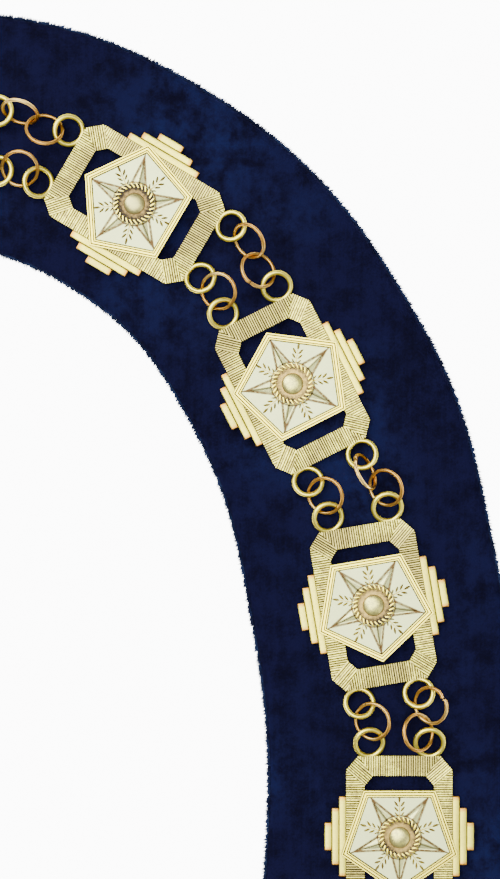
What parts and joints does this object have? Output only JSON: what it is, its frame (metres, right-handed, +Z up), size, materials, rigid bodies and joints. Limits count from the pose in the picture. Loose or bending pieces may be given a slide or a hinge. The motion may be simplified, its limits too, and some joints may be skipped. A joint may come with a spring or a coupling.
{
  "type": "chain of office",
  "caption": "Ceremonial chain collar: octagonal gold-tone plaques with raised five-sided plates, joined by pairs of ring links, lying on a navy velvet backing band.",
  "frame": {"origin": "centre of the velvet band's outline, on its underside", "axes": "+Z up out of the surface the collar lies on, +Y towards the plaque at the back of the neck, +X towards the half that the picture shows"},
  "size_m": [0.4186, 0.5084, 0.0152],
  "materials": {
    "velvet": "cut-pile velvet, deep navy",
    "gold": "pale gold plate, satin to bright",
    "copper": "coppery gold wire, bright"
  },
  "bodies": {
    "root": {"velvet_band": "velvet", "plaque_01": "gold", "plaque_02": "gold", "plaque_03": "gold", "plaque_04": "gold", "plaque_05": "gold", "plaque_06": "gold", "plaque_07": "gold", "plaque_08": "gold", "plaque_09": "gold", "plaque_10": "gold", "plaque_11": "gold", "plaque_12": "gold", "plaque_13": "gold", "plaque_14": "gold", "plaque_15": "gold", "inner_ring_01": "copper", "inner_ring_02": "copper", "inner_ring_03": "copper", "inner_ring_04": "copper", "inner_ring_05": "copper", "inner_ring_06": "copper", "inner_ring_07": "copper", "inner_ring_08": "copper", "inner_ring_09": "copper", "inner_ring_10": "copper", "inner_ring_11": "copper", "inner_ring_12": "copper", "inner_ring_13": "copper", "inner_ring_14": "copper", "inner_ring_15": "copper", "outer_ring_pair_01": "copper", "outer_ring_pair_02": "copper", "outer_ring_pair_03": "copper", "outer_ring_pair_04": "copper", "outer_ring_pair_05": "copper", "outer_ring_pair_06": "copper", "outer_ring_pair_07": "copper", "outer_ring_pair_08": "copper", "outer_ring_pair_09": "copper", "outer_ring_pair_10": "copper", "outer_ring_pair_11": "copper", "outer_ring_pair_12": "copper", "outer_ring_pair_13": "copper", "outer_ring_pair_14": "copper", "outer_ring_pair_15": "copper"}
  },
  "joints": []
}
